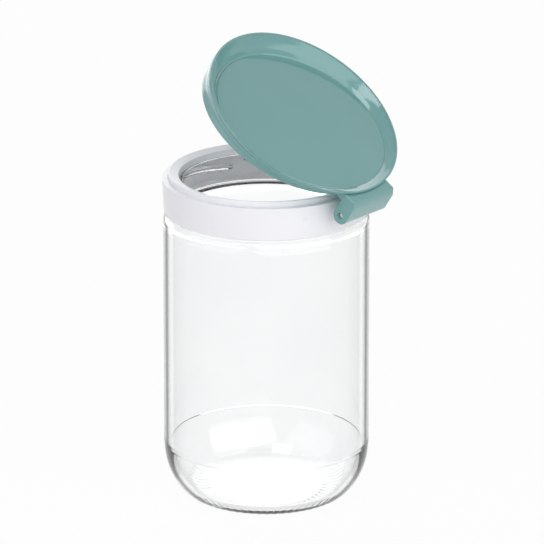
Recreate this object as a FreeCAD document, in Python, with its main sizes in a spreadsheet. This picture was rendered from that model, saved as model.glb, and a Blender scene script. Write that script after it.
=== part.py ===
import FreeCAD, Part
import math
import os

import Sketcher

# Storage jar: a clear glass jar, a screw-on collar with a hinge tab, and a dished flip lid on a pin.
# Millimetres. +Z is up, the origin is the middle of the base, and the hinge is on the +Y side.

# Driving dimensions, by sub-part
DIMENSIONS = {
    # Glass jar, from its base upwards
    "body_r": 43.5,
    "body_wall": 2.6,
    "base_dome": 1.6,
    "base_thick": 5.2,
    "foot_in": 14.5,
    "foot_w": 4.0,
    "heel_in": 7.9,
    "heel_knee_z": 2.87,
    "heel_z": 23.0,
    "heel_line": 0.25,
    "inner_foot_in": 14.9,
    "inner_knee_in": 7.5,
    "inner_knee_rise": 2.9,
    "shoulder_h": 5.3,
    "shoulder_in": 2.15,
    "shoulder_drop": 3.9,
    "neck_wall": 3.0,
    "collar_clear": 1.0,
    "lip_z": 138.3,
    "lip_round": 0.6,
    # Thread on the neck, and the lugs of the collar that run under it
    "thread_starts": 6,
    "thread_lead": 24.0,
    "thread_drop": 5.7,
    "thread_rise": 3.6,
    "thread_depth": 1.6,
    "thread_gap": 0.7,
    "thread_root": 0.6,
    "thread_root_half": 1.0,
    "thread_crest_half": 0.5,
    "lug_drop": 1.6,
    "lug_rise": 1.2,
    "lug_gap": 0.6,
    "lug_root_half": 0.9,
    "lug_crest_half": 0.45,
    # Collar, from its lower edge upwards
    "collar_wall": 2.0,
    "collar_foot_wall": 1.3,
    "ledge_h": 14.2,
    "ledge_w": 2.7,
    "band_h": 2.45,
    "top_fall": 1.3,
    "mouth_out": 0.3,
    "mouth_lip_h": 2.55,
    "mouth_lip_wall": 0.8,
    "flange_h": 1.6,
    "groove_w": 1.8,
    "groove_h": 1.45,
    "collar_round": 0.4,
    # Seal between the lip of the jar and the groove of the collar
    "seal_h": 1.45,
    "seal_side_gap": 0.15,
    "seal_gap": 0.05,
    # Hinge, from the pin outwards
    "pin_r": 1.35,
    "pin_run_gap": 0.05,
    "pin_fit_gap": 0.02,
    "pin_recess": 1.0,
    "pin_chamfer": 0.3,
    "tab_wall": 1.1,
    "tab_half": 2.0,
    "tab_root": 0.6,
    "tab_w": 12.4,
    "tab_gap": 0.3,
    "cover_wall": 0.9,
    "hinge_gap": 2.7,
    "hinge_drop": 3.6,
    "hinge_w": 27.0,
    "plate_in": 2.6,
    "plate_below": 0.75,
    "plate_bevel_h": 2.8,
    "plate_bevel_w": 1.5,
    "hinge_round": 0.5,
    # Lid, closed, from the band that its skirt stands on
    "open_angle": 33.0,
    "seat_gap": 0.15,
    "skirt_out": 0.9,
    "skirt_wall": 1.55,
    "skirt_back": 3.5,
    "skirt_over": 0.3,
    "under_gap": 0.85,
    "floor_wall": 1.9,
    "floor_in": 3.5,
    "floor_back": 1.0,
    "cove_rise": 1.2,
    "cove_in": 2.0,
    "cove_back": 1.4,
    "cove_dip": 0.7,
    "waist_rise": 1.0,
    "waist_in": 0.1,
    "waist_back": 0.8,
    "waist_dip": 1.2,
    "rim_rise": 5.1,
    "rim_out": 3.3,
    "rim_back": 2.2,
    "rim_dip": 3.17,
    "rim_wall": 1.8,
    "rim_round": 0.25,
    # Overrun of every cut past the face that it leaves through
    "overrun": 3.0,
}

# Sizes and places that follow from the driving ones, as sums of their names
FOOT_R = "body_r - foot_in"
INNER_R = "body_r - body_wall"
SHOULDER_R = INNER_R + " - shoulder_in"
BORE_R = SHOULDER_R + " - shoulder_in"
NECK_R = BORE_R + " + neck_wall"
THREAD_Z = "lip_z - thread_drop"
COLLAR_BORE_R = NECK_R + " + thread_depth + thread_gap"
COLLAR_R = COLLAR_BORE_R + " + collar_wall"
COLLAR_Z = "lip_z + seal_gap + seal_h + seal_gap - ledge_h + flange_h - groove_h"
NECK_Z = COLLAR_Z + " - collar_clear"
FLANGE_Z = "ledge_h - flange_h"
BAND_R = COLLAR_R + " - ledge_w"
MOUTH_R = BORE_R + " + mouth_out"
TAB_END_R = "pin_r + pin_run_gap + tab_wall"
BARREL_R = TAB_END_R + " + tab_gap + cover_wall"
HINGE_R = COLLAR_R + " + hinge_gap + " + BARREL_R
PIN_Z = "ledge_h - hinge_drop"
SKIRT_R = BAND_R + " + skirt_out"
SEAT_H = "band_h + seat_gap"
UNDER_H = "band_h + under_gap"
SKIRT_H = UNDER_H + " + skirt_over"
FLOOR_H = UNDER_H + " + floor_wall"
COVE_R = SKIRT_R + " - cove_in"
WAIST_R = SKIRT_R + " - waist_in"
RIM_H = FLOOR_H + " + rim_rise"
RIM_R = SKIRT_R + " + rim_out"
# Leans of the lid's circles towards the hinge, each as a dip over a radius
COVE_LEAN = ("cove_dip", COVE_R)
WAIST_LEAN = ("waist_dip", WAIST_R)
RIM_LEAN = ("rim_dip", RIM_R)
# Nearness at which two measured places count as one
TOUCH = 1e-4
# Points looked at along an edge
SAMPLES = 8

PLANES = {"side": "YZ_Plane", "front": "XZ_Plane", "level": "XY_Plane"}

doc = FreeCAD.newDocument("storage_jar")
sheet = doc.addObject("Spreadsheet::Sheet", "Dims")


def fill_sheet():
    """Writes each driving dimension into its own cell, under its own alias."""
    for row, (alias, size) in enumerate(DIMENSIONS.items(), start=1):
        sheet.set("A%d" % row, alias)
        sheet.set("B%d" % row, str(size))
        sheet.setAlias("B%d" % row, alias)
    doc.recompute()


def amount(names):
    """The number that a sum of aliases such as 'lip_z + seal_gap' comes to."""
    total, sign = 0.0, 1
    for word in names.split():
        if word in ("+", "-"):
            sign = 1 if word == "+" else -1
        else:
            total += sign * DIMENSIONS[word]
    return total


def cells(names):
    """The same sum as an expression on the sheet's cells."""
    return " ".join(word if word in ("+", "-") else "Dims." + word for word in names.split())


def flipped(names):
    """The sum with every sign but the first turned over, to follow a minus."""
    turned = {"+": "-", "-": "+"}
    return " ".join(turned.get(word, word) for word in names.split())


def bind(thing, **sums):
    """Binds properties of an object to sums of aliases, with two underscores for a dot."""
    for path, names in sums.items():
        thing.setExpression(path.replace("__", "."), cells(names))


def new_body(label):
    """An empty body whose Label names its file."""
    body = doc.addObject("PartDesign::Body", label)
    body.Label = label
    return body


def origin_feature(body, role):
    """One of the body's own origin planes or axes."""
    return next(item for item in body.Origin.OriginFeatures if item.Role == role)


def new_sketch(body, name, plane):
    """A sketch on one of the body's origin planes."""
    sketch = body.newObject("Sketcher::SketchObject", name)
    sketch.AttachmentSupport = [(origin_feature(body, PLANES[plane]), "")]
    sketch.MapMode = "FlatFace"
    return sketch


def place_point(sketch, edge, end, across, up):
    """Binds one end of an edge to two sums of aliases; None puts it on the axis."""
    for axis, kind, names in ((-2, "DistanceX", across), (-1, "DistanceY", up)):
        if names is None:
            sketch.addConstraint(Sketcher.Constraint("PointOnObject", edge, end, axis))
            continue
        index = sketch.addConstraint(Sketcher.Constraint(kind, -1, 1, edge, end, amount(names)))
        sketch.setExpression("Constraints[%d]" % index, cells(names))


def tangent_arc(start, finish, heading):
    """The arc from start to finish that leaves along heading, and whether it runs anticlockwise."""
    chord = finish - start
    normal = FreeCAD.Vector(-heading.y, heading.x, 0)
    reach = chord.dot(chord) / (2 * chord.dot(normal))
    middle = start + normal * reach
    circle = Part.Circle(middle, FreeCAD.Vector(0, 0, 1), abs(reach))
    ends = [circle.parameter(start), circle.parameter(finish)]
    left = reach > 0
    arc = Part.ArcOfCircle(circle, *(ends if left else ends[::-1]))
    spoke = (finish - middle) / abs(reach)
    after = FreeCAD.Vector(-spoke.y, spoke.x, 0) * (1 if left else -1)
    return arc, left, after


def outline(body, name, plane, corners):
    """A closed outline of lines and tangent arcs.

    Each corner is (across, up) in sums of aliases, None for zero, and a third word "arc" where
    the stretch that leaves the corner is an arc tangent to the stretch before it.
    """
    sketch = new_sketch(body, name, plane)
    spots = [FreeCAD.Vector(*(0 if names is None else amount(names) for names in c[:2])) for c in corners]
    ends = []
    heading = None
    for i, corner in enumerate(corners):
        start, finish = spots[i], spots[(i + 1) % len(spots)]
        if len(corner) > 2:
            shape, left, heading = tangent_arc(start, finish, heading)
            ends.append((1, 2) if left else (2, 1))
        else:
            shape = Part.LineSegment(start, finish)
            heading = (finish - start).normalize()
            ends.append((1, 2))
        sketch.addGeometry(shape)
    for i, corner in enumerate(corners):
        before = i - 1 if i else len(corners) - 1
        kind = "Tangent" if len(corner) > 2 else "Coincident"
        joint = Sketcher.Constraint(kind, before, ends[before][1], i, ends[i][0])
        sketch.addConstraint(joint)
        place_point(sketch, i, ends[i][0], corner[0], corner[1])
    return sketch


def disc(body, name, plane, radius, across=None, up=None):
    """A circle sketch of a bound radius about a bound centre."""
    sketch = new_sketch(body, name, plane)
    spot = FreeCAD.Vector(*(0 if names is None else amount(names) for names in (across, up)))
    sketch.addGeometry(Part.Circle(spot, FreeCAD.Vector(0, 0, 1), amount(radius)))
    index = sketch.addConstraint(Sketcher.Constraint("Radius", 0, amount(radius)))
    sketch.setExpression("Constraints[%d]" % index, cells(radius))
    place_point(sketch, 0, 3, across, up)
    return sketch


def revolve(body, name, sketch):
    """A full turn of an outline about the body's upright axis."""
    turn = body.newObject("PartDesign::Revolution", name)
    turn.Profile = sketch
    turn.ReferenceAxis = (origin_feature(body, "Z_Axis"), [""])
    return turn


def pad(body, name, sketch, length, both=True):
    """A pad of a bound length, half to each side of its sketch or all to one."""
    block = body.newObject("PartDesign::Pad", name)
    block.Profile = sketch
    block.SideType = "Symmetric" if both else "One side"
    bind(block, Length=length)
    return block


def pocket(body, name, sketch, length, both=True, upward=False):
    """A pocket of a bound length, half to each side of its sketch or all to one."""
    cut = body.newObject("PartDesign::Pocket", name)
    cut.Profile = sketch
    cut.SideType = "Symmetric" if both else "One side"
    cut.Reversed = upward
    bind(cut, Length=length)
    return cut


def thread(body, name, corners, rise):
    """A helical rib of the jar's lead, repeated for each start round the body's axis."""
    section = outline(body, name + "_section", "front", corners)
    rib = body.newObject("PartDesign::AdditiveHelix", name)
    rib.Profile = section
    rib.ReferenceAxis = (origin_feature(body, "Z_Axis"), [""])
    rib.Mode = "pitch-height-angle"
    bind(rib, Pitch="thread_lead", Height=rise)
    ring = body.newObject("PartDesign::PolarPattern", name + "_ring")
    ring.Originals = [rib]
    ring.Axis = (origin_feature(body, "Z_Axis"), [""])
    bind(ring, Occurrences="thread_starts")
    body.Tip = ring
    return ring


def round_edges(body, name, base, radius, chosen):
    """A fillet on those edges of the base feature that the test picks."""
    doc.recompute()
    names = ["Edge%d" % i for i, edge in enumerate(base.Shape.Edges, start=1) if chosen(edge)]
    if not names:
        raise RuntimeError(name + " found no edge to round")
    fillet = body.newObject("PartDesign::Fillet", name)
    fillet.Base = (base, names)
    bind(fillet, Radius=radius)
    return fillet


def rings(wanted):
    """A test that picks the full circles of the wanted (radius, height) about the upright axis."""

    def chosen(edge):
        curve = edge.Curve
        return isinstance(curve, Part.Circle) and any(
            abs(curve.Radius - amount(radius)) < TOUCH and abs(curve.Center.z - amount(height)) < TOUCH
            for radius, height in wanted
        )

    return chosen


def in_plane_of(sketch):
    """A test that picks the edges that lie all along in the sketch's plane."""

    def chosen(edge):
        normal = sketch.Placement.Rotation.multVec(FreeCAD.Vector(0, 0, 1))
        spots = edge.discretize(SAMPLES)
        return all(abs((spot - sketch.Placement.Base).dot(normal)) < TOUCH for spot in spots)

    return chosen


def on_hinge_ends(edge):
    """Whether an edge bounds an end face of the hinge block, other than at the pin's hole."""
    spots = edge.discretize(SAMPLES)
    end = amount("hinge_w") / 2
    at_end = all(abs(abs(spot.x) - end) < TOUCH for spot in spots)
    outside = all(spot.y > -amount(BARREL_R) - TOUCH for spot in spots)
    return at_end and outside and not edge.isClosed()


def make_jar():
    """The glass jar: foot, heel, straight body, shoulder and threaded neck in one revolved wall."""
    body = new_body("glass_jar")
    section = outline(
        body,
        "jar_section",
        "front",
        [
            (None, "base_dome"),
            (FOOT_R + " - foot_w", None),
            (FOOT_R, None, "arc"),
            ("body_r - heel_in", "heel_knee_z", "arc"),
            ("body_r - heel_line", "heel_z"),
            ("body_r", "heel_z + heel_line"),
            ("body_r", NECK_Z + " - shoulder_h", "arc"),
            (NECK_R, NECK_Z),
            (NECK_R, "lip_z"),
            (BORE_R, "lip_z"),
            (BORE_R, NECK_Z, "arc"),
            (SHOULDER_R, NECK_Z + " - shoulder_drop", "arc"),
            (INNER_R, NECK_Z + " - shoulder_drop - shoulder_drop"),
            (INNER_R, "heel_z + base_thick", "arc"),
            (INNER_R + " - inner_knee_in", "base_thick + inner_knee_rise", "arc"),
            (INNER_R + " - inner_foot_in", "base_thick"),
            (None, "base_thick + base_dome"),
        ],
    )
    wall = revolve(body, "jar_wall", section)
    lip = ((NECK_R, "lip_z"), (BORE_R, "lip_z"))
    round_edges(body, "jar_lip", wall, "lip_round", rings(lip))
    thread(
        body,
        "jar_thread",
        [
            (NECK_R + " - thread_root", THREAD_Z + " - thread_root_half"),
            (NECK_R + " + thread_depth", THREAD_Z + " - thread_crest_half"),
            (NECK_R + " + thread_depth", THREAD_Z + " + thread_crest_half"),
            (NECK_R + " - thread_root", THREAD_Z + " + thread_root_half"),
        ],
        "thread_rise",
    )
    return body


def make_collar():
    """The screw collar: tapered wall, ledge for the lid, raised band, mouth lip, lugs and hinge tab."""
    body = new_body("collar")
    top = "ledge_h + band_h"
    lip_top = top + " - top_fall"
    groove_in = MOUTH_R + " + mouth_lip_wall"
    groove_out = groove_in + " + groove_w"
    section = outline(
        body,
        "collar_section",
        "front",
        [
            (COLLAR_BORE_R, None),
            (COLLAR_BORE_R + " + collar_foot_wall", None),
            (COLLAR_R, "ledge_h"),
            (BAND_R, "ledge_h"),
            (BAND_R, top),
            (MOUTH_R, lip_top),
            (MOUTH_R, lip_top + " - mouth_lip_h"),
            (groove_in, lip_top + " - mouth_lip_h"),
            (groove_in, FLANGE_Z + " + groove_h"),
            (groove_out, FLANGE_Z + " + groove_h"),
            (groove_out, FLANGE_Z),
            (COLLAR_BORE_R, FLANGE_Z),
        ],
    )
    wall = revolve(body, "collar_wall", section)
    edges = (
        (COLLAR_BORE_R + " + collar_foot_wall", ""),
        (COLLAR_R, "ledge_h"),
        (BAND_R, top),
        (MOUTH_R, lip_top),
    )
    round_edges(body, "collar_edges", wall, "collar_round", rings(edges))
    lug_z = THREAD_Z + " - lug_drop - " + flipped(COLLAR_Z)
    thread(
        body,
        "collar_lugs",
        [
            (COLLAR_BORE_R + " + thread_root", lug_z + " - lug_root_half"),
            (COLLAR_BORE_R + " + thread_root", lug_z + " + lug_root_half"),
            (NECK_R + " + lug_gap", lug_z + " + lug_crest_half"),
            (NECK_R + " + lug_gap", lug_z + " - lug_crest_half"),
        ],
        "lug_rise",
    )
    arm = outline(
        body,
        "tab_section",
        "side",
        [
            (COLLAR_BORE_R + " + tab_root", PIN_Z + " - tab_half"),
            (HINGE_R, PIN_Z + " - tab_half"),
            (HINGE_R, PIN_Z + " + tab_half"),
            (COLLAR_BORE_R + " + tab_root", PIN_Z + " + tab_half"),
        ],
    )
    pad(body, "tab", arm, "tab_w")
    knuckle = disc(body, "tab_end_section", "side", TAB_END_R, HINGE_R, PIN_Z)
    pad(body, "tab_end", knuckle, "tab_w")
    hole = disc(body, "tab_bore_section", "side", "pin_r + pin_run_gap", HINGE_R, PIN_Z)
    pocket(body, "tab_bore", hole, "tab_w + overrun")
    bind(body, Placement__Base__z=COLLAR_Z)
    return body


def make_seal():
    """The sealing ring between the lip of the jar and the groove of the collar."""
    body = new_body("neck_seal")
    near_r = MOUTH_R + " + mouth_lip_wall + seal_side_gap"
    far_r = MOUTH_R + " + mouth_lip_wall + groove_w - seal_side_gap"
    section = outline(
        body,
        "seal_section",
        "front",
        [(near_r, None), (far_r, None), (far_r, "seal_h"), (near_r, "seal_h")],
    )
    revolve(body, "seal_ring", section)
    bind(body, Placement__Base__z="lip_z + seal_gap")
    return body


def lid_circle(body, name, radius, height, back="", lean=None):
    """A circle of the lid, at a height above the ledge, moved on from the skirt and leaned towards the hinge."""
    sketch = disc(body, name, "level", radius)
    if lean:
        dip, reach = lean
        angle = math.degrees(math.atan2(amount(dip), amount(reach)))
        turn = FreeCAD.Rotation(FreeCAD.Vector(-1, 0, 0), angle)
        sketch.AttachmentOffset = FreeCAD.Placement(FreeCAD.Vector(0, 0, 0), turn)
        slope = "atan((%s) / (%s))" % (cells(dip), cells(reach))
        sketch.setExpression("AttachmentOffset.Rotation.Angle", slope)
    middle = "skirt_back" + back + " - " + flipped(HINGE_R)
    bind(sketch, AttachmentOffset__Base__y=middle, AttachmentOffset__Base__z="hinge_drop + " + height)
    return sketch


def loft(body, name, kind, sections):
    """A smooth loft through the circles in order."""
    form = body.newObject("PartDesign::" + kind, name)
    form.Profile = sections[0]
    form.Sections = sections[1:]
    return form


def make_lid():
    """The dished lid with its skirt and the hinge block; its own origin is the hinge pin."""
    body = new_body("lid")
    skirt = lid_circle(body, "skirt_circle", SKIRT_R, SEAT_H)
    pad(body, "skirt", skirt, SKIRT_H + " - " + flipped(SEAT_H), both=False)
    skirt_top = lid_circle(body, "skirt_top", SKIRT_R, SKIRT_H)
    waist = lid_circle(body, "waist", WAIST_R, FLOOR_H + " + waist_rise", " + waist_back", WAIST_LEAN)
    rim = lid_circle(body, "rim", RIM_R, RIM_H, " + rim_back", RIM_LEAN)
    loft(body, "dish_outside", "AdditiveLoft", [skirt_top, waist, rim])
    plate_end = SKIRT_R + " + skirt_back - plate_in - " + flipped(HINGE_R)
    plate_top = "hinge_drop + " + RIM_H + " - rim_dip - plate_below"
    block = outline(
        body,
        "hinge_section",
        "side",
        [
            (plate_end, "hinge_drop + " + SEAT_H),
            ("- " + flipped(BARREL_R), "hinge_drop + " + SEAT_H),
            ("- " + flipped(BARREL_R), None, "arc"),
            (BARREL_R, None),
            (BARREL_R, plate_top + " - plate_bevel_h"),
            (BARREL_R + " - plate_bevel_w", plate_top),
            (plate_end, plate_top),
        ],
    )
    pad(body, "hinge_block", block, "hinge_w")
    under = lid_circle(body, "under_circle", SKIRT_R + " - skirt_wall", SEAT_H + " - overrun")
    pocket(body, "under", under, UNDER_H + " - " + flipped(SEAT_H) + " + overrun", both=False, upward=True)
    loft(
        body,
        "dish_inside",
        "SubtractiveLoft",
        [
            lid_circle(body, "floor", SKIRT_R + " - floor_in", FLOOR_H, " + floor_back"),
            lid_circle(body, "cove", COVE_R, FLOOR_H + " + cove_rise", " + cove_back", COVE_LEAN),
            lid_circle(body, "mouth", RIM_R + " - rim_wall", RIM_H, " + rim_back", RIM_LEAN),
            lid_circle(body, "above", RIM_R, RIM_H + " + overrun", " + rim_back", RIM_LEAN),
        ],
    )
    room_w = "tab_w + tab_gap + tab_gap"
    far = plate_end + " - overrun"
    low = "- " + flipped(BARREL_R) + " - overrun"
    side = "tab_half + tab_gap"
    room = outline(body, "tab_room_section", "side", [(side, low), (side, side), (far, side), (far, low)])
    pocket(body, "tab_room", room, room_w)
    turn = disc(body, "tab_turn_section", "side", TAB_END_R + " + tab_gap")
    pocket(body, "tab_turn", turn, room_w)
    hole = disc(body, "pin_hole_section", "side", "pin_r + pin_fit_gap")
    bored = pocket(body, "pin_hole", hole, "hinge_w + overrun")
    rounded = round_edges(body, "rim_edges", bored, "rim_round", in_plane_of(rim))
    round_edges(body, "hinge_edges", rounded, "hinge_round", on_hinge_ends)
    opening = FreeCAD.Rotation(FreeCAD.Vector(-1, 0, 0), amount("open_angle"))
    body.Placement = FreeCAD.Placement(FreeCAD.Vector(0, 0, 0), opening)
    bind(
        body,
        Placement__Base__y=HINGE_R,
        Placement__Base__z=COLLAR_Z + " + " + PIN_Z,
        Placement__Rotation__Angle="open_angle",
    )
    return body


def make_pin():
    """The steel hinge pin, a little shorter than the hinge block, with chamfered ends."""
    body = new_body("hinge_pin")
    section = disc(body, "pin_section", "side", "pin_r")
    rod = pad(body, "pin_rod", section, "hinge_w - pin_recess - pin_recess")
    doc.recompute()
    ends = body.newObject("PartDesign::Chamfer", "pin_ends")
    rims = [i for i, edge in enumerate(rod.Shape.Edges, start=1) if isinstance(edge.Curve, Part.Circle)]
    ends.Base = (rod, ["Edge%d" % i for i in rims])
    bind(ends, Size="pin_chamfer")
    bind(body, Placement__Base__y=HINGE_R, Placement__Base__z=COLLAR_Z + " + " + PIN_Z)
    return body


def check(bodies):
    """Stops the build where an object failed or a sub-part is not one sound solid."""
    bad = [item.Name for item in doc.Objects if {"Invalid", "Error"} & set(item.State)]
    if bad:
        raise RuntimeError("failed: " + ", ".join(bad))
    for body in bodies:
        shape = body.Shape
        if shape.isNull() or not shape.isValid() or len(shape.Solids) != 1:
            raise RuntimeError(body.Label + " is not one sound solid")
        print("%s volume %.0f" % (body.Label, shape.Volume), shape.BoundBox)


def main():
    """Builds the sub-parts, checks them and writes one file for each."""
    fill_sheet()
    bodies = [make_jar(), make_collar(), make_seal(), make_lid(), make_pin()]
    doc.recompute()
    check(bodies)
    os.makedirs("parts", exist_ok=True)
    for body in bodies:
        body.Shape.exportStep("parts/%s.step" % body.Label)


main()
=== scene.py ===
import logging
import math
from collections.abc import Callable, Sequence
from dataclasses import dataclass
from enum import Enum

import bpy
from mathutils import Matrix, Vector


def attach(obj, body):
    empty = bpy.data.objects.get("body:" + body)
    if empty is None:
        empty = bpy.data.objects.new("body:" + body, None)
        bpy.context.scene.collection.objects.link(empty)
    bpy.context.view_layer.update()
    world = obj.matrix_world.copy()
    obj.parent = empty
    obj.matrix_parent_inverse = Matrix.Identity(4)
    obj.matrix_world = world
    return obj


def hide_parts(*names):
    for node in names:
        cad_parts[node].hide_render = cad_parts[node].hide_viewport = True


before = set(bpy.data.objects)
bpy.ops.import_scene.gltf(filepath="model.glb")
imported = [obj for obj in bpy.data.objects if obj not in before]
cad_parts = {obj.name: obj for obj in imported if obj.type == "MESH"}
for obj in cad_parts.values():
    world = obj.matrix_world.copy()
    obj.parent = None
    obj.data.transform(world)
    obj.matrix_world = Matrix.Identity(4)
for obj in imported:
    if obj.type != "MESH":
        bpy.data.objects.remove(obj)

MM = 0.001
WELD = 1e-6
ROUND_STEPS = 256
EASE_STEPS = 5
ARC_STEPS = 40
ROD_SIDES = 64
SMOOTH_ANGLE = math.radians(32)
PIT_SHARE = 0.4

log = logging.getLogger("storage_jar")

Spot = tuple[float, float]
Colour = tuple[float, float, float]

# The hinge pin's axis as (y, z), and the thread that neck and collar share, in millimetres.
PIN: Spot = (50.3, 136.4)
THREAD_LEAD = 24.0
THREAD_STARTS = 6


class Act(Enum):
    """What one solid does to another."""

    JOIN = "UNION"
    CUT = "DIFFERENCE"


class Body(Enum):
    """The moving bodies of the frame."""

    JAR = "jar"
    SEAL = "seal"
    COLLAR = "collar"
    LID = "lid"


def bow(a: Spot, b: Spot, c: Spot, x: float) -> float:
    """Reads a smooth curve through three places.

    Args:
        a: First place, as (x, value).
        b: Second place.
        c: Third place.
        x: Where to read; it is held between the first and the last place.

    Returns:
        The curve's value there.
    """
    x = min(max(x, a[0]), c[0])
    first = (b[1] - a[1]) / (b[0] - a[0])
    second = ((c[1] - b[1]) / (c[0] - b[0]) - first) / (c[0] - a[0])
    return a[1] + first * (x - a[0]) + second * (x - a[0]) * (x - b[0])


def ramp(x: float) -> float:
    """Goes softly from 0 to 1 as x does."""
    x = min(max(x, 0.0), 1.0)
    return x * x * (3 - 2 * x)


class Profile:
    """A drawn line in millimetres: places (across, up) with runs, arcs and eased corners."""

    def __init__(self, across: float, up: float) -> None:
        """Starts the line at a place."""
        self.spots: list[tuple[Vector, float]] = [(Vector((across, up)), 0.0)]
        self.arc_end: tuple[int, Vector] | None = None

    def line(self, across: float, up: float, ease: float = 0.0, steps: int = 1) -> "Profile":
        """Draws a straight run.

        Args:
            across: Where the run ends.
            up: Where the run ends.
            ease: Radius that rounds the corner at its end.
            steps: Number of parts that the run is divided into.

        Returns:
            The profile itself, for the next run.
        """
        start, finish = self.spots[-1][0], Vector((across, up))
        for step in range(1, steps):
            self.spots.append((start.lerp(finish, step / steps), 0.0))
        self.spots.append((finish, ease))
        return self

    def arc(self, across: float, up: float, steps: int) -> "Profile":
        """Draws an arc that leaves along the last run.

        Args:
            across: Where the arc ends.
            up: Where the arc ends.
            steps: Number of straight parts in the arc.

        Returns:
            The profile itself, for the next run.
        """
        start, finish = self.spots[-1][0], Vector((across, up))
        heading = self.heading
        chord = finish - start
        normal = Vector((-heading.y, heading.x))
        reach = chord.dot(chord) / (2 * chord.dot(normal))
        middle = start + normal * reach
        sweep = 2 * math.atan2(chord.dot(normal), chord.dot(heading))
        for step in range(1, steps + 1):
            turn = Matrix.Rotation(sweep * step / steps, 2)
            self.spots.append((middle + turn @ (start - middle), 0.0))
        self.spots[-1] = (finish, 0.0)
        self.arc_end = (len(self.spots), Matrix.Rotation(sweep, 2) @ heading)
        return self

    def sway(self, across: float, up: float, steps: int) -> "Profile":
        """Draws two arcs that swing over and back to the first heading.

        Args:
            across: Where the second arc ends.
            up: Where the second arc ends.
            steps: Number of straight parts in each arc.

        Returns:
            The profile itself, for the next run.
        """
        middle = (self.spots[-1][0] + Vector((across, up))) / 2
        return self.arc(middle.x, middle.y, steps).arc(across, up, steps)

    def chain(self, spots: Sequence[Spot]) -> "Profile":
        """Draws on through given places and returns the profile itself."""
        self.spots.extend((Vector(spot), 0.0) for spot in spots)
        return self

    @property
    def heading(self) -> Vector:
        """The direction at the end of the line: an arc's own, where the line ends with one.

        Returns:
            The direction, one long.
        """
        if self.arc_end and self.arc_end[0] == len(self.spots):
            return self.arc_end[1]
        return (self.spots[-1][0] - self.spots[-2][0]).normalized()

    def places(self, closed: bool) -> list[Spot]:
        """Gives the line with its corners rounded.

        Args:
            closed: Whether the line runs back to its start.

        Returns:
            The places in order, in millimetres.
        """
        found: list[Spot] = []
        count = len(self.spots)
        for index, (spot, ease) in enumerate(self.spots):
            if not ease or (not closed and index in (0, count - 1)):
                found.append(tuple(spot))
                continue
            back = (self.spots[index - 1][0] - spot).normalized()
            on = (self.spots[(index + 1) % count][0] - spot).normalized()
            half = back.angle(on) / 2
            reach = ease / math.tan(half)
            middle = spot + (back + on).normalized() * ease / math.sin(half)
            first, last = spot + back * reach - middle, spot + on * reach - middle
            for step in range(EASE_STEPS + 1):
                part = first.slerp(last, step / EASE_STEPS).normalized()
                found.append(tuple(middle + part * ease))
        return found


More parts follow.
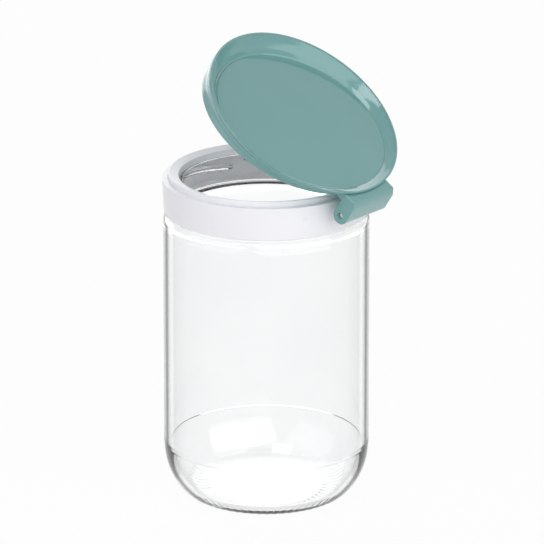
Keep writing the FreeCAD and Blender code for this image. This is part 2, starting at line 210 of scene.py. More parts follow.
class Bench:
    """The operators that shape a mesh, each from a clean selection."""

    @staticmethod
    def clear() -> None:
        """Leaves edit mode and deselects everything."""
        if bpy.context.mode != "OBJECT":
            bpy.ops.object.mode_set(mode="OBJECT")
        bpy.ops.object.select_all(action="DESELECT")

    @staticmethod
    def take(piece: bpy.types.Object) -> None:
        """Makes one piece the only selected one, and the active one."""
        Bench.clear()
        piece.select_set(True)
        bpy.context.view_layer.objects.active = piece

    @staticmethod
    def trace(name: str, spots: Sequence[Vector], closed: bool) -> bpy.types.Object:
        """Draws a chain of edges and leaves it in edit mode.

        Args:
            name: Name of the new object.
            spots: Places in metres, in order.
            closed: Whether the chain is closed and filled with a face.

        Returns:
            The new object.
        """
        Bench.clear()
        bpy.ops.mesh.primitive_plane_add(size=MM)
        piece = bpy.context.active_object
        piece.name = piece.data.name = name
        bpy.ops.object.mode_set(mode="EDIT")
        bpy.ops.mesh.select_all(action="SELECT")
        bpy.ops.mesh.merge(type="CENTER")
        bpy.ops.transform.translate(value=spots[0])
        for before, after in zip(spots, spots[1:]):
            bpy.ops.mesh.extrude_region_move(TRANSFORM_OT_translate={"value": after - before})
        if closed:
            bpy.ops.mesh.select_all(action="SELECT")
            bpy.ops.mesh.edge_face_add()
        return piece

    @staticmethod
    def mend() -> None:
        """Welds doubled places, turns the faces outwards and leaves edit mode."""
        bpy.ops.mesh.select_all(action="SELECT")
        bpy.ops.mesh.remove_doubles(threshold=WELD)
        bpy.ops.mesh.normals_make_consistent(inside=False)
        bpy.ops.object.mode_set(mode="OBJECT")

    @staticmethod
    def turned(name: str, places: Sequence[Spot], closed: bool, base: float = 0.0) -> bpy.types.Object:
        """Turns a half section once round the upright axis.

        Args:
            name: Name of the new object.
            places: The section as (radius, height), in millimetres.
            closed: Whether the section is a ring clear of the axis.
            base: Height in millimetres that the section's heights count from.

        Returns:
            The new object, with its faces outwards.
        """
        spots = [Vector((radius, 0, base + height)) * MM for radius, height in places]
        piece = Bench.trace(name, spots, closed)
        if closed:
            bpy.ops.mesh.delete(type="ONLY_FACE")
        bpy.ops.mesh.select_all(action="SELECT")
        bpy.ops.mesh.spin(steps=ROUND_STEPS, angle=math.tau, center=(0, 0, 0), axis=(0, 0, 1))
        Bench.mend()
        return piece

    @staticmethod
    def slab(name: str, places: Sequence[Spot], width: float, middle: Spot) -> bpy.types.Object:
        """Draws a side outline and gives it a width across the hinge.

        Args:
            name: Name of the new object.
            places: The outline as (outwards, up) from the middle, in millimetres.
            width: Its width along the pin, in millimetres.
            middle: Place of the outline's middle as (y, z), in millimetres.

        Returns:
            The new object, with its faces outwards.
        """
        spots = [Vector((-width / 2, middle[0] + out, middle[1] + up)) * MM for out, up in places]
        piece = Bench.trace(name, spots, True)
        bpy.ops.mesh.extrude_region_move(TRANSFORM_OT_translate={"value": (width * MM, 0, 0)})
        Bench.mend()
        return piece

    @staticmethod
    def rod(name: str, radius: float, length: float, middle: Spot) -> bpy.types.Object:
        """Adds a round bar along the pin's axis.

        Args:
            name: Name of the new object.
            radius: Radius in millimetres.
            length: Length in millimetres.
            middle: Place of its middle as (y, z), in millimetres.

        Returns:
            The new object.
        """
        Bench.clear()
        bpy.ops.mesh.primitive_cylinder_add(
            vertices=ROD_SIDES,
            radius=radius * MM,
            depth=length * MM,
            location=(0, middle[0] * MM, middle[1] * MM),
            rotation=(0, math.pi / 2, 0),
        )
        piece = bpy.context.active_object
        piece.name = piece.data.name = name
        bpy.ops.object.transform_apply(location=True, rotation=True, scale=True)
        return piece

    @staticmethod
    def work(piece: bpy.types.Object, kind: str, **settings: object) -> None:
        """Applies one modifier to a piece.

        Args:
            piece: The piece.
            kind: The modifier's type.
            settings: Values of its properties.
        """
        Bench.take(piece)
        tool = piece.modifiers.new(kind.lower(), kind)
        for key, value in settings.items():
            setattr(tool, key, value)
        bpy.ops.object.modifier_apply(modifier=tool.name)

    @staticmethod
    def ease(piece: bpy.types.Object, radius: float, steps: int) -> None:
        """Rounds the sharp edges of a piece by a radius in millimetres."""
        Bench.work(
            piece,
            "BEVEL",
            width=radius * MM,
            segments=steps,
            limit_method="ANGLE",
            angle_limit=SMOOTH_ANGLE,
            harden_normals=False,
        )

    @staticmethod
    def combine(piece: bpy.types.Object, other: bpy.types.Object, act: Act) -> None:
        """Joins another solid to a piece, or cuts it out of it, and removes the other."""
        Bench.work(piece, "BOOLEAN", object=other, operation=act.value, solver="EXACT")
        bpy.data.objects.remove(other)

    @staticmethod
    def polish(piece: bpy.types.Object) -> None:
        """Shades a piece smooth except at its sharp edges, led by its large faces."""
        Bench.take(piece)
        bpy.ops.object.shade_smooth_by_angle(angle=SMOOTH_ANGLE)
        Bench.work(piece, "WEIGHTED_NORMAL", keep_sharp=True)
        Bench.clear()


Feed = bpy.types.NodeSocket | tuple[float, float, float, float] | float


class Tree:
    """A node tree under construction, with short ways to add and link nodes."""

    def __init__(self, tree: bpy.types.NodeTree) -> None:
        """Takes a tree and empties it."""
        self.tree = tree
        tree.nodes.clear()

    def add(self, kind: str, **settings: object) -> bpy.types.Node:
        """Adds a node.

        Args:
            kind: The node's type.
            settings: Values of its properties, or of its inputs where a name starts with in_.

        Returns:
            The node.
        """
        node = self.tree.nodes.new(kind)
        for key, value in settings.items():
            if key.startswith("in_"):
                node.inputs[key[3:].replace("_", " ")].default_value = value
            else:
                setattr(node, key, value)
        return node

    def link(self, start: bpy.types.NodeSocket, end: bpy.types.NodeSocket) -> None:
        """Links an output to an input."""
        self.tree.links.new(start, end)

    def feed(self, end: bpy.types.NodeSocket, value: Feed) -> None:
        """Gives an input an output to follow, or a plain value.

        Args:
            end: The input.
            value: The output or the value.
        """
        if isinstance(value, bpy.types.NodeSocket):
            self.link(value, end)
        else:
            end.default_value = value

    def sum(self, operation: str, *values: Feed) -> bpy.types.NodeSocket:
        """Adds a sum.

        Args:
            operation: The kind of sum.
            values: What goes in, in order.

        Returns:
            The sum's output.
        """
        node = self.add("ShaderNodeMath", operation=operation)
        for end, value in zip(node.inputs, values):
            self.feed(end, value)
        return node.outputs["Value"]

    def blend(self, way: str, share: Feed, first: Feed, second: Feed) -> bpy.types.NodeSocket:
        """Blends two colours.

        Args:
            way: How the second colour goes on the first.
            share: How much of it does.
            first: The first colour.
            second: The second colour.

        Returns:
            The blended colour's output.
        """
        node = self.add("ShaderNodeMix", data_type="RGBA", blend_type=way)
        ends = {socket.identifier: socket for socket in node.inputs}
        for key, value in (("Factor_Float", share), ("A_Color", first), ("B_Color", second)):
            self.feed(ends[key], value)
        return next(socket for socket in node.outputs if socket.identifier == "Result_Color")


Filling = Callable[[Tree, bpy.types.Node, bpy.types.Node], None]


class Effects:
    """Surface effects that several finishes share, each built once as a node group."""

    _groups: dict[str, bpy.types.NodeTree] = {}

    @classmethod
    def group(cls, name: str, output: str, fill: Filling) -> bpy.types.NodeTree:
        """Gives a group with a place and a scale going in and one value coming out.

        Args:
            name: The group's name.
            output: Name of the value that it gives.
            fill: What adds its nodes between its input and its output.

        Returns:
            The group's tree.
        """
        if name not in cls._groups:
            made = bpy.data.node_groups.new(name, "ShaderNodeTree")
            made.interface.new_socket("Vector", in_out="INPUT", socket_type="NodeSocketVector")
            made.interface.new_socket("Scale", in_out="INPUT", socket_type="NodeSocketFloat")
            made.interface.new_socket(output, in_out="OUTPUT", socket_type="NodeSocketFloat")
            tree = Tree(made)
            fill(tree, tree.add("NodeGroupInput"), tree.add("NodeGroupOutput"))
            cls._groups[name] = made
        return cls._groups[name]

    @classmethod
    def drift(cls) -> bpy.types.NodeTree:
        """Broad soft clouds, as where a melt has flowed or a surface was handled."""

        def fill(tree: Tree, start: bpy.types.Node, end: bpy.types.Node) -> None:
            """Adds a slow noise and spreads it from 0 to 1."""
            noise = tree.add("ShaderNodeTexNoise", in_Detail=2.0, in_Roughness=0.4)
            spread = tree.add("ShaderNodeMapRange", in_From_Min=0.25, in_From_Max=0.75)
            tree.link(start.outputs["Vector"], noise.inputs["Vector"])
            tree.link(start.outputs["Scale"], noise.inputs["Scale"])
            tree.link(noise.outputs["Fac"], spread.inputs["Value"])
            tree.link(spread.outputs["Result"], end.inputs["Drift"])

        return cls.group("soft_drift", "Drift", fill)

    @classmethod
    def grain(cls) -> bpy.types.NodeTree:
        """The fine skin that a mould leaves, as a height."""

        def fill(tree: Tree, start: bpy.types.Node, end: bpy.types.Node) -> None:
            """Adds a fine noise over small pits."""
            noise = tree.add("ShaderNodeTexNoise", in_Detail=2.0, in_Roughness=0.6)
            pits = tree.add("ShaderNodeTexVoronoi", feature="SMOOTH_F1")
            for node in (noise, pits):
                for key in ("Vector", "Scale"):
                    tree.link(start.outputs[key], node.inputs[key])
            height = tree.sum("MULTIPLY_ADD", pits.outputs["Distance"], PIT_SHARE, noise.outputs["Fac"])
            tree.link(height, end.inputs["Height"])

        return cls.group("mould_grain", "Height", fill)


@dataclass(frozen=True)
class Finish:
    """A finish with a drifting colour, a drifting roughness and a fine grain."""

    name: str
    colour: Colour
    other: Colour
    drift_scale: float
    smooth: float
    rough: float
    film_scale: float
    grain_scale: float
    grain_depth: float
    metallic: float = 0.0
    coat: float = 0.0

    def material(self) -> bpy.types.Material:
        """Builds the material.

        Returns:
            The new material.
        """
        made = bpy.data.materials.new(self.name)
        made.use_nodes = True
        tree = Tree(made.node_tree)
        shader = tree.add("ShaderNodeBsdfPrincipled")
        out = tree.add("ShaderNodeOutputMaterial")
        tree.link(shader.outputs["BSDF"], out.inputs["Surface"])
        shader.inputs["Metallic"].default_value = self.metallic
        shader.inputs["Coat Weight"].default_value = self.coat
        self.dress(tree, shader)
        return made

    def effect(self, tree: Tree, group: bpy.types.NodeTree, scale: float) -> bpy.types.NodeSocket:
        """Places a shared effect on the piece's own coordinates.

        Args:
            tree: The material's tree.
            group: The effect.
            scale: Its scale, in features per metre.

        Returns:
            The effect's output.
        """
        place = tree.add("ShaderNodeTexCoord")
        node = tree.add("ShaderNodeGroup", node_tree=group)
        node.inputs["Scale"].default_value = scale
        tree.link(place.outputs["Object"], node.inputs["Vector"])
        return node.outputs[0]

    def dress(self, tree: Tree, shader: bpy.types.Node) -> None:
        """Feeds colour, roughness and grain to the shader.

        Args:
            tree: The material's tree.
            shader: Its shader.
        """
        drift = self.effect(tree, Effects.drift(), self.drift_scale)
        tint = tree.blend("MIX", drift, (*self.colour, 1), (*self.other, 1))
        tree.link(tint, shader.inputs["Base Color"])
        film = tree.add("ShaderNodeMapRange", in_To_Min=self.smooth, in_To_Max=self.rough)
        tree.link(self.effect(tree, Effects.drift(), self.film_scale), film.inputs["Value"])
        tree.link(film.outputs["Result"], shader.inputs["Roughness"])
        bump = tree.add("ShaderNodeBump", in_Strength=1.0, in_Distance=self.grain_depth)
        tree.link(self.effect(tree, Effects.grain(), self.grain_scale), bump.inputs["Height"])
        tree.link(bump.outputs["Normal"], shader.inputs["Normal"])


@dataclass(frozen=True)
class ClearGlass(Finish):
    """Clear moulded glass, with painted shade that greys it towards its sides and a painted bright strip
    and dark line at its edge, standing in for reflections.
    """

    # Painted edge shade as (facing, grey) stops: a painted bright strip, then a painted dark line near
    # the silhouette.
    painted_edge_stops: tuple[Spot, ...] = (
        (0.05, 0.98),
        (0.40, 0.88),
        (0.58, 0.70),
        (0.63, 1.0),
        (0.66, 0.9),
        (0.70, 0.45),
        (0.735, 0.03),
        (0.775, 0.01),
        (0.84, 0.25),
        (0.91, 0.55),
    )
    index: float = 1.5
    # Height in metres below which the painted edge shade goes on the glass.
    painted_edge_below: float = 0.1245

    def painted_edge_tone(self, tree: Tree) -> bpy.types.NodeSocket:
        """Paints shade on the glass by how far a face turns from the eye: a painted bright strip and
        dark edge line that stand in for reflections.

        Args:
            tree: The material's tree.

        Returns:
            The painted grey that goes on the glass.
        """
        facing = tree.add("ShaderNodeLayerWeight", in_Blend=0.5)
        edge = tree.add("ShaderNodeValToRGB")
        while len(edge.color_ramp.elements) < len(self.painted_edge_stops):
            edge.color_ramp.elements.new(1.0)
        for stop, (turn, tone) in zip(edge.color_ramp.elements, self.painted_edge_stops):
            stop.position, stop.color = turn, (tone, tone, tone, 1)
        tree.link(facing.outputs["Facing"], edge.inputs["Fac"])
        return edge.outputs["Color"]

    def painted_edge_mask(self, tree: Tree) -> bpy.types.NodeSocket:
        """Finds where the painted edge shade goes: the outside of the glass below the collar, where it
        is seen directly.

        Args:
            tree: The material's tree.

        Returns:
            1 there, and 0 elsewhere.
        """
        path = tree.add("ShaderNodeLightPath")
        place = tree.add("ShaderNodeTexCoord")
        parts = tree.add("ShaderNodeSeparateXYZ")
        lean = tree.add("ShaderNodeVectorMath", operation="DOT_PRODUCT")
        tree.link(place.outputs["Object"], parts.inputs["Vector"])
        tree.link(place.outputs["Object"], lean.inputs[0])
        tree.link(place.outputs["Normal"], lean.inputs[1])
        low = tree.sum("LESS_THAN", parts.outputs["Z"], self.painted_edge_below)
        outer = tree.sum("GREATER_THAN", lean.outputs["Value"], 0.0)
        return tree.sum("MULTIPLY", tree.sum("MULTIPLY", low, outer), path.outputs["Is Camera Ray"])

    def dress(self, tree: Tree, shader: bpy.types.Node) -> None:
        """Feeds colour, roughness and ripple to the shader, with the painted edge shade multiplied into
        the colour.

        Args:
            tree: The material's tree.
            shader: Its shader.
        """
        Finish.dress(self, tree, shader)
        shader.inputs["Transmission Weight"].default_value = 1.0
        shader.inputs["IOR"].default_value = self.index
        body = shader.inputs["Base Color"].links[0].from_socket
        # Painted shade and highlight at the glass's edges, for camera rays only.
        painted_shade = tree.blend("MULTIPLY", self.painted_edge_mask(tree), body, self.painted_edge_tone(tree))
        tree.link(painted_shade, shader.inputs["Base Color"])


GLASS = ClearGlass(
    name="clear_glass",
    colour=(0.985, 0.99, 0.99),
    other=(0.96, 0.965, 0.97),
    drift_scale=24.0,
    smooth=0.0,
    rough=0.01,
    film_scale=30.0,
    grain_scale=26.0,
    grain_depth=0.00006,
)
TEAL = Finish(
    name="teal_plastic",
    colour=(0.14, 0.342, 0.337),
    other=(0.155, 0.36, 0.355),
    drift_scale=28.0,
    smooth=0.1,
    rough=0.16,
    film_scale=60.0,
    grain_scale=2600.0,
    grain_depth=0.000003,
    coat=0.4,
)
WHITE = Finish(
    name="white_plastic",
    colour=(0.89, 0.885, 0.925),
    other=(0.91, 0.905, 0.945),
    drift_scale=30.0,
    smooth=0.26,
    rough=0.36,
    film_scale=60.0,
    grain_scale=2600.0,
    grain_depth=0.000005,
)
PALE = Finish(
    name="pale_rubber",
    colour=(0.72, 0.73, 0.75),
    other=(0.78, 0.79, 0.8),
    drift_scale=60.0,
    smooth=0.55,
    rough=0.7,
    film_scale=90.0,
    grain_scale=3200.0,
    grain_depth=0.00001,
)
STEEL = Finish(
    name="drawn_steel",
    colour=(0.55, 0.55, 0.56),
    other=(0.62, 0.62, 0.63),
    drift_scale=200.0,
    smooth=0.22,
    rough=0.4,
    film_scale=500.0,
    grain_scale=5200.0,
    grain_depth=0.000004,
    metallic=1.0,
)


def dressed(piece: bpy.types.Object, finish: Finish, body: Body, node: str) -> bpy.types.Object:
    """Finishes a piece and sets it in its node's place.

    Args:
        piece: The piece.
        finish: Its finish.
        body: The body that it moves with.
        node: The node that it stands for, whose imported part is hidden.

    Returns:
        The piece.
    """
    Bench.polish(piece)
    piece.data.materials.clear()
    piece.data.materials.append(finish.material())
    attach(piece, body.value)
    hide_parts(node)
    log.info("%s: %d faces", piece.name, len(piece.data.polygons))
    return piece


@dataclass
class ScrewThread:
    """Ribs of one lead that stand out of a wall, one for each start."""

    wall_r: float
    depth: float
    half: float
    start_z: float
    rise: float
    fade: float

    def raise_on(self, piece: bpy.types.Object) -> None:
        """Moves the wall's places out along the ribs.

        Args:
            piece: The turned piece whose wall carries the ribs.
        """
        sweep = math.tau * self.rise / THREAD_LEAD
        apart = math.tau / THREAD_STARTS
        for vertex in piece.data.vertices:
            x, y, z = vertex.co / MM
            radius = math.hypot(x, y)
            if abs(radius - self.wall_r) > WELD / MM:
                continue
            along = math.atan2(y, x) % apart
            height = self.start_z + THREAD_LEAD * along / math.tau
            end = min(along, sweep - along) / self.fade
            share = ramp(2 * (1 - abs(z - height) / self.half)) * ramp(end)
            grown = (radius + self.depth * share) / radius
            vertex.co.x *= grown
            vertex.co.y *= grown


@dataclass
class GlassJar:
    """The glass: foot, heel, straight body, shoulder and threaded neck, in millimetres."""

    body_r: float = 43.5
    inner_r: float = 40.9
    foot_inner_r: float = 25.0
    foot_outer_r: float = 29.0
    foot_ease: float = 0.8
    dome: float = 1.6
    base: float = 3.6
    knee: Spot = (35.6, 2.87)
    heel_z: float = 23.0
    heel_line: float = 0.25
    seam: float = 0.3
    knurl: float = 0.16
    knurl_count: int = 64
    shoulder_z: float = 122.5
    shoulder_r: float = 41.2
    neck_z: float = 124.8
    neck_r: float = 39.6
    neck_plain: float = 5.0
    bore_r: float = 36.6
    root_ease: float = 1.5
    neck_in_z: float = 129.5
    shoulder_in: Spot = (38.6, 126.2)
    shoulder_in_z: float = 118.0
    inner_heel_z: float = 25.0
    inner_knee: Spot = (35.0, 7.0)
    inner_foot_r: float = 27.0
    lip_z: float = 138.3
    lip_plain: float = 1.0
    lip_ease: float = 0.9
    thread_z: float = 132.6
    thread_steps: int = 34
    bend_steps: int = 12
    heel_steps: int = 24
    sweep_steps: int = 10
    wall_steps: int = 6

    def build(self) -> bpy.types.Object:
        """Turns the wall, raises its thread and notches its foot.

        Returns:
            The glass.
        """
        line = Profile(0, self.dome)
        line.line(self.foot_inner_r, 0, self.foot_ease).line(self.foot_outer_r, 0)
        line.arc(*self.knee, self.bend_steps)
        line.arc(self.body_r - self.heel_line, self.heel_z, self.heel_steps)
        line.line(self.body_r - self.seam, self.heel_z + self.heel_line)
        line.line(self.body_r, self.heel_z + 2 * self.heel_line)
        line.line(self.body_r, self.shoulder_z, steps=self.wall_steps)
        line.arc(self.shoulder_r, self.neck_z, self.bend_steps)
        line.line(self.neck_r, self.neck_z, self.root_ease)
        line.line(self.neck_r, self.neck_z + self.neck_plain, steps=2)
        line.line(self.neck_r, self.lip_z - self.lip_plain, steps=self.thread_steps)
        line.line(self.neck_r, self.lip_z, self.lip_ease).line(self.bore_r, self.lip_z, self.lip_ease)
        line.line(self.bore_r, self.neck_in_z, steps=3)
        line.sway(*self.shoulder_in, self.wall_steps)
        line.sway(self.inner_r, self.shoulder_in_z, self.sweep_steps)
        line.line(self.inner_r, self.inner_heel_z, steps=self.wall_steps)
        line.arc(*self.inner_knee, self.heel_steps)
        line.arc(self.inner_foot_r, self.base, self.sweep_steps)
        line.line(0, self.base + self.dome, steps=4)
        glass = Bench.turned("jar_glass", line.places(False), False)
        thread = ScrewThread(
            wall_r=self.neck_r, depth=1.6, half=1.15, start_z=self.thread_z, rise=3.6, fade=0.06
        )
        thread.raise_on(glass)
        self.knurl_foot(glass)
        return dressed(glass, GLASS, Body.JAR, "glass_jar")

    def knurl_foot(self, glass: bpy.types.Object) -> None:
        """Lifts fine notches into the outer edge of the foot, as on pressed glass.

        Args:
            glass: The turned glass.
        """
        for vertex in glass.data.vertices:
            x, y, z = vertex.co / MM
            radius = math.hypot(x, y)
            if self.foot_outer_r < radius < self.knee[0] and z < self.knee[1]:
                wave = 0.5 - 0.5 * math.cos(self.knurl_count * math.atan2(y, x))
                vertex.co.z += self.knurl * wave * MM


@dataclass
class ScrewCollar:
    """The white collar in millimetres: wall, ledge, raised band, mouth lip, lugs and hinge tab."""

    base_z: float = 125.8
    bore_r: float = 41.9
    foot_r: float = 43.2
    ledge: Spot = (43.9, 14.2)
    band_r: float = 41.2
    band_h: float = 16.65
    crease: Spot = (0.45, 0.4)
    mouth: Spot = (36.9, 15.35)
    mouth_low: float = 12.8
    groove: Spot = (37.7, 39.5)
    groove_h: float = 14.05
    flange_h: float = 12.6
    lug_h: Spot = (3.8, 8.0)
    lug_start: float = 5.2
    lug_steps: int = 18
    ease: float = 0.4
    tab_w: float = 12.4
    tab_half: float = 2.0
    tab_r: float = 2.5
    tab_root: float = 42.5
    tab_ease: float = 0.25
    pin: Spot = PIN
    bore: float = 1.4

    def build(self) -> bpy.types.Object:
        """Turns the ring, raises its lugs and joins the tab.

        Returns:
            The collar.
        """
        line = Profile(self.bore_r, 0).line(self.foot_r, 0, self.ease).line(*self.ledge, self.ease)
        line.line(self.band_r + self.crease[0], self.ledge[1])
        line.line(self.band_r, self.ledge[1] - self.crease[1])
        line.line(self.band_r, self.band_h, self.ease)
        line.line(*self.mouth, self.ease).line(self.mouth[0], self.mouth_low)
        line.line(self.groove[0], self.mouth_low).line(self.groove[0], self.groove_h)
        line.line(self.groove[1], self.groove_h).line(self.groove[1], self.flange_h)
        line.line(self.bore_r, self.flange_h).line(self.bore_r, self.lug_h[1])
        line.line(self.bore_r, self.lug_h[0], steps=self.lug_steps)
        ring = Bench.turned("collar_ring", line.places(True), True, self.base_z)
        lug_z = self.base_z + self.lug_start
        lugs = ScrewThread(wall_r=self.bore_r, depth=-1.7, half=1.0, start_z=lug_z, rise=1.2, fade=0.05)
        lugs.raise_on(ring)
        root, across = self.tab_root - self.pin[0], math.sqrt(self.tab_r**2 - self.tab_half**2)
        start = math.atan2(-self.tab_half, -across)
        sweep = math.tau - 2 * math.acos(across / self.tab_r)
        turns = [start + sweep * i / ARC_STEPS for i in range(ARC_STEPS + 1)]
        round_end = [(self.tab_r * math.cos(turn), self.tab_r * math.sin(turn)) for turn in turns]
        places = [(root, -self.tab_half), *round_end, (root, self.tab_half)]
        tab = Bench.slab("tab", places, self.tab_w, self.pin)
        Bench.ease(tab, self.tab_ease, steps=3)
        Bench.combine(tab, Bench.rod("tab_bore", self.bore, self.tab_w * 2, self.pin), Act.CUT)
        Bench.combine(ring, tab, Act.JOIN)
        return dressed(ring, WHITE, Body.COLLAR, "collar")


@dataclass
class NeckSeal:
    """The sealing ring on the lip of the glass, in millimetres."""

    near_r: float = 37.85
    far_r: float = 39.35
    base_z: float = 138.35
    height: float = 1.45
    ease: float = 0.3

    def build(self) -> bpy.types.Object:
        """Turns the ring.

        Returns:
            The seal.
        """
        line = Profile(self.near_r, 0).line(self.far_r, 0, self.ease)
        line.line(self.far_r, self.height, self.ease).line(self.near_r, self.height, self.ease)
        # The section is closed, so its first corner is eased too.
        line.spots[0] = (line.spots[0][0], self.ease)
        ring = Bench.turned("seal_ring", line.places(True), True, self.base_z)
        return dressed(ring, PALE, Body.SEAL, "neck_seal")


@dataclass
class FlipLid:
    """The dished lid, its skirt and hinge block in millimetres, with heights from the collar's ledge."""

    ledge_z: float = 140.0
    pin: Spot = PIN
    open_angle: float = 33.0
    seat: float = 2.6
    under_r: float = 40.55
    under_h: float = 3.3
    under_ease: float = 0.4
    seat_ease: float = 0.15
    skirt_r: float = 42.1
    skirt_h: float = 3.6
    skirt_ease: float = 0.25
    waist: Spot = (6.2, 42.0)
    rim: Spot = (10.3, 45.8)
    rim_wall: float = 2.1
    rim_ease: float = 0.85
    bead_ease: float = 0.95
    bead_drop_share: float = 1.6
    floor: Spot = (5.8, 38.9)
    floor_line: Spot = (0.4, 0.3)
    cove: Spot = (6.9, 40.3)
    outer_back: tuple[float, float, float] = (3.5, 4.3, 5.7)
    outer_lean: tuple[float, float, float] = (0.0, 1.64, 4.0)
    inner_back: tuple[float, float, float] = (6.4, 6.2, 5.7)
    inner_lean: tuple[float, float, float] = (0.0, 1.0, 4.0)
    hinge_w: float = 27.0
    barrel_r: float = 3.7
    plate_end: float = -7.3
    plate_top: float = 9.98
    plate_bevel: Spot = (1.5, 2.8)
    hinge_ease: float = 0.5
    room_w: float = 13.0
    room: float = 2.3
    room_r: float = 2.8
    hole_r: float = 1.37
    overrun: float = 3.0
    core_h: Spot = (-8.0, 16.0)
    outer_steps: int = 14
    inner_steps: int = 8
    floor_steps: int = 6

    def outer_r(self, height: float) -> float:
        """Outside radius of the dish at a height."""
        return bow((self.skirt_h, self.skirt_r), self.waist, self.rim, height)

    def inner_r(self, height: float) -> float:
        """Inside radius of the dish at a height."""
        return bow(self.floor, self.cove, (self.rim[0], self.rim[1] - self.rim_wall), height)

    def lean(self, piece: bpy.types.Object) -> None:
        """Moves the turned rings towards the hinge, and tilts them more the higher they are.

        Args:
            piece: The turned piece, upright about its axis.
        """
        outer = (self.skirt_h, self.waist[0], self.rim[0])
        inner = (self.floor[0], self.cove[0], self.rim[0])
        for vertex in piece.data.vertices:
            x, y, z = vertex.co / MM
            height = z - self.ledge_z
            radius = math.hypot(x, y)
            share = 1.0
            if height > self.skirt_h:
                near, far = self.inner_r(height), self.outer_r(height)
                share = min(max((radius - near) / (far - near), 0.0), 1.0)
            moved = [
                (1 - share) * bow(*zip(inner, inside), height)
                + share * bow(*zip(outer, outside), height)
                for inside, outside in (
                    (self.inner_back, self.outer_back),
                    (self.inner_lean, self.outer_lean),
                )
            ]
            tilt = math.radians(moved[1])
            vertex.co.y = (y * math.cos(tilt) + moved[0]) * MM
            vertex.co.z = (z - y * math.sin(tilt)) * MM

    def shell(self) -> bpy.types.Object:
        """Turns the dish with its skirt and leans it.

        Returns:
            The dish.
        """
        rim_h, rim_r = self.rim
        line = Profile(0, self.under_h).line(self.under_r, self.under_h, self.under_ease)
        line.line(self.under_r, self.seat, self.seat_ease)
        line.line(self.skirt_r, self.seat, self.skirt_ease)
        line.line(self.skirt_r, self.skirt_h)
        rise = rim_h - 2 * self.rim_ease - self.skirt_h
        heights = [self.skirt_h + rise * i / self.outer_steps for i in range(1, self.outer_steps + 1)]
        line.chain([(self.outer_r(h), h) for h in heights])
        line.line(rim_r, rim_h, self.rim_ease).line(rim_r - self.rim_wall, rim_h, self.bead_ease)
        floor_h, floor_r = self.floor
        top = rim_h - self.bead_drop_share * self.bead_ease
        drop = self.cove[0] - top
        wall = [top + drop * i / self.inner_steps for i in range(self.inner_steps + 1)]
        line.chain([(self.inner_r(h), h) for h in wall])
        wide, deep = self.floor_line
        line.line(floor_r + wide, floor_h, wide).line(floor_r, floor_h - deep, deep / 2)
        line.line(floor_r - wide, floor_h, wide / 2).line(0, floor_h, steps=self.floor_steps)
        dish = Bench.turned("lid_dish", line.places(False), False, self.ledge_z)
        self.lean(dish)
        return dish

    def block(self) -> bpy.types.Object:
        """Builds the hinge block: barrel, plate and ears, cut back to the wall of the dish.

        Returns:
            The block.
        """
        floor = self.ledge_z - self.pin[1] + self.seat
        r = self.barrel_r
        turns = [math.pi * i / ARC_STEPS for i in range(ARC_STEPS + 1)]
        barrel = [(-r * math.cos(turn), -r * math.sin(turn)) for turn in turns]
        places = [
            (self.plate_end, floor),
            (-r, floor),
            *barrel,
            (r, self.plate_top - self.plate_bevel[1]),
            (r - self.plate_bevel[0], self.plate_top),
            (self.plate_end, self.plate_top),
        ]
        block = Bench.slab("hinge_block", places, self.hinge_w, self.pin)
        Bench.ease(block, self.hinge_ease, steps=4)
        low, back = -r - self.overrun, self.plate_end - self.overrun
        room = [(self.room, low), (self.room, self.room), (back, self.room), (back, low)]
        Bench.combine(block, Bench.slab("tab_room", room, self.room_w, self.pin), Act.CUT)
        Bench.combine(block, Bench.rod("tab_turn", self.room_r, self.room_w, self.pin), Act.CUT)
        Bench.combine(block, Bench.rod("pin_hole", self.hole_r, self.hinge_w * 2, self.pin), Act.CUT)
        mid_low = (self.under_r + self.skirt_r) / 2
        mid_h = (self.under_h + self.floor[0]) / 2
        core_low, core_high = self.core_h
        line = Profile(0, core_low).line(mid_low, core_low).line(mid_low, mid_h)
        rise = self.rim[0] - self.floor[0]
        heights = [self.floor[0] + rise * i / self.inner_steps for i in range(self.inner_steps + 1)]
        line.chain([((self.inner_r(h) + self.outer_r(h)) / 2, h) for h in heights])
        line.line(self.rim[1] - self.rim_wall / 2, core_high).line(0, core_high)
        core = Bench.turned("dish_core", line.places(False), False, self.ledge_z)
        self.lean(core)
        Bench.combine(block, core, Act.CUT)
        return block

    def build(self) -> bpy.types.Object:
        """Joins dish and hinge block and opens the lid to its rest.

        Returns:
            The lid.
        """
        lid = self.shell()
        lid.name = lid.data.name = "lid_moulded"
        Bench.combine(lid, self.block(), Act.JOIN)
        middle = Vector((0, *self.pin)) * MM
        turn = Matrix.Rotation(-math.radians(self.open_angle), 4, "X")
        lid.matrix_world = Matrix.Translation(middle) @ turn @ Matrix.Translation(-middle)
        Bench.take(lid)
        bpy.ops.object.transform_apply(location=True, rotation=True, scale=True)
        return dressed(lid, TEAL, Body.LID, "lid")


@dataclass
class HingePin:
    """The steel pin with its chamfered ends, in millimetres."""

    radius: float = 1.35
    length: float = 25.0
    chamfer: float = 0.3
    pin: Spot = PIN

    def build(self) -> bpy.types.Object:
        """Adds the bar and chamfers its ends.

        Returns:
            The pin.
        """
        bar = Bench.rod("pin_drawn", self.radius, self.length, self.pin)
        Bench.ease(bar, self.chamfer, steps=2)
        return dressed(bar, STEEL, Body.LID, "hinge_pin")


@dataclass(frozen=True)
class Softbox:
    """A flat lamp, placed in metres to the camera's right, towards the camera and up."""

    name: str
    place: tuple[float, float, float]
    size: Spot
    power: float


LAMPS = (
    Softbox("key_softbox", place=(0.95, 1.35, 0.8), size=(3.2, 1.9), power=28.0),
    Softbox("fill_softbox", place=(-1.4, 0.6, 0.8), size=(2.0, 2.0), power=8.5),
    Softbox("window_softbox", place=(-0.44, 0.86, 1.45), size=(0.6, 0.6), power=4.5),
    Softbox("back_softbox", place=(-0.4, -1.5, 0.7), size=(2.0, 2.0), power=14.0),
)


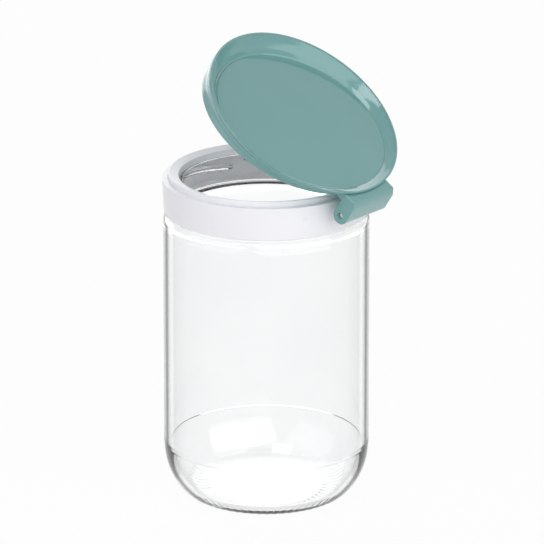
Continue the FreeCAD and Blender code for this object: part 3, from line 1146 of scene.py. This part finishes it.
@dataclass
class Studio:
    """The floor, the soft light and the camera of the photograph."""

    azimuth: float = 129.0
    elevation: float = 18.6
    distance: float = 3.5
    frame_width: float = 0.22954
    sensor: float = 36.0
    aim_z: float = 0.09771
    aim_right: float = 0.002363
    floor_size: float = 8.0
    floor_white: float = 0.95
    floor_grey: float = 0.9
    sky: float = 0.2
    sight: float = 100.0

    def basis(self) -> tuple[Vector, Vector, Vector]:
        """The camera's right, up and back directions."""
        a, e = math.radians(self.azimuth), math.radians(self.elevation)
        back = Vector((math.sin(a) * math.cos(e), -math.cos(a) * math.cos(e), math.sin(e)))
        right = Vector((math.cos(a), math.sin(a), 0))
        return right, back.cross(right), back

    def camera(self) -> None:
        """Sets the camera at the photograph's viewing angle."""
        right, up, back = self.basis()
        data = bpy.data.cameras.new("camera")
        data.sensor_width = self.sensor
        data.lens = self.sensor * self.distance / self.frame_width
        data.clip_end = self.sight
        eye = bpy.data.objects.new("camera", data)
        place = Vector((0, 0, self.aim_z)) + right * self.aim_right + back * self.distance
        eye.matrix_world = Matrix.Translation(place) @ Matrix((right, up, back)).transposed().to_4x4()
        bpy.context.scene.collection.objects.link(eye)
        bpy.context.scene.camera = eye

    @staticmethod
    def seen(tree: Tree, share: float) -> bpy.types.NodeSocket:
        """Tells rays that show a surface from rays that only light one.

        Args:
            tree: The tree to add to.
            share: The value for camera, glossy and transmission rays.

        Returns:
            That value for such rays, and 0 for others.
        """
        path = tree.add("ShaderNodeLightPath")
        first = tree.sum("MAXIMUM", path.outputs["Is Camera Ray"], path.outputs["Is Glossy Ray"])
        shown = tree.sum("MAXIMUM", path.outputs["Is Transmission Ray"], first)
        return tree.sum("MULTIPLY", shown, share)

    def ground(self) -> None:
        """Lays the pale floor, which keeps the object's shadow."""
        Bench.clear()
        bpy.ops.mesh.primitive_plane_add(size=self.floor_size)
        floor = bpy.context.active_object
        floor.name = floor.data.name = "studio_floor"
        made = bpy.data.materials.new("studio_floor")
        made.use_nodes = True
        tree = Tree(made.node_tree)
        matt = tree.add("ShaderNodeBsdfDiffuse", in_Color=(*[self.floor_grey] * 3, 1))
        glow = tree.add("ShaderNodeEmission", in_Color=(1, 1, 1, 1), in_Strength=1.0)
        blend = tree.add("ShaderNodeMixShader")
        out = tree.add("ShaderNodeOutputMaterial")
        tree.link(self.seen(tree, self.floor_white), blend.inputs[0])
        tree.link(matt.outputs["BSDF"], blend.inputs[1])
        tree.link(glow.outputs["Emission"], blend.inputs[2])
        tree.link(blend.outputs["Shader"], out.inputs["Surface"])
        floor.data.materials.append(made)
        Bench.clear()

    def surround(self) -> None:
        """Makes the white surround that the camera, gloss and glass see, and its softer light."""
        world = bpy.data.worlds.new("studio")
        world.use_nodes = True
        bpy.context.scene.world = world
        tree = Tree(world.node_tree)
        back = tree.add("ShaderNodeBackground", in_Color=(1, 1, 1, 1))
        out = tree.add("ShaderNodeOutputWorld")
        level = tree.sum("ADD", self.seen(tree, 1.0 - self.sky), self.sky)
        tree.link(level, back.inputs["Strength"])
        tree.link(back.outputs["Background"], out.inputs["Surface"])

    def hang(self, lamp: Softbox) -> None:
        """Hangs a softbox that faces the jar.

        Args:
            lamp: The softbox.
        """
        right, _, back = self.basis()
        towards = Vector((back.x, back.y, 0)).normalized()
        spot = right * lamp.place[0] + towards * lamp.place[1] + Vector((0, 0, lamp.place[2]))
        data = bpy.data.lights.new(lamp.name, "AREA")
        data.shape, data.energy = "RECTANGLE", lamp.power
        data.size, data.size_y = lamp.size
        box = bpy.data.objects.new(lamp.name, data)
        aim = Vector((0, 0, self.aim_z)) - spot
        box.matrix_world = Matrix.Translation(spot) @ aim.to_track_quat("-Z", "Y").to_matrix().to_4x4()
        bpy.context.scene.collection.objects.link(box)

    def build(self) -> None:
        """Sets up the whole studio."""
        self.camera()
        self.ground()
        self.surround()
        for lamp in LAMPS:
            self.hang(lamp)
        bpy.context.scene.view_settings.view_transform = "Standard"


def main() -> None:
    """Builds the jar's pieces and the studio."""
    logging.basicConfig(level=logging.INFO)
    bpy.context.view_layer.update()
    for piece in (GlassJar(), ScrewCollar(), NeckSeal(), FlipLid(), HingePin()):
        made = piece.build()
        log.info("built %s", made.name)
    Studio().build()


if __name__ == "__main__":
    main()
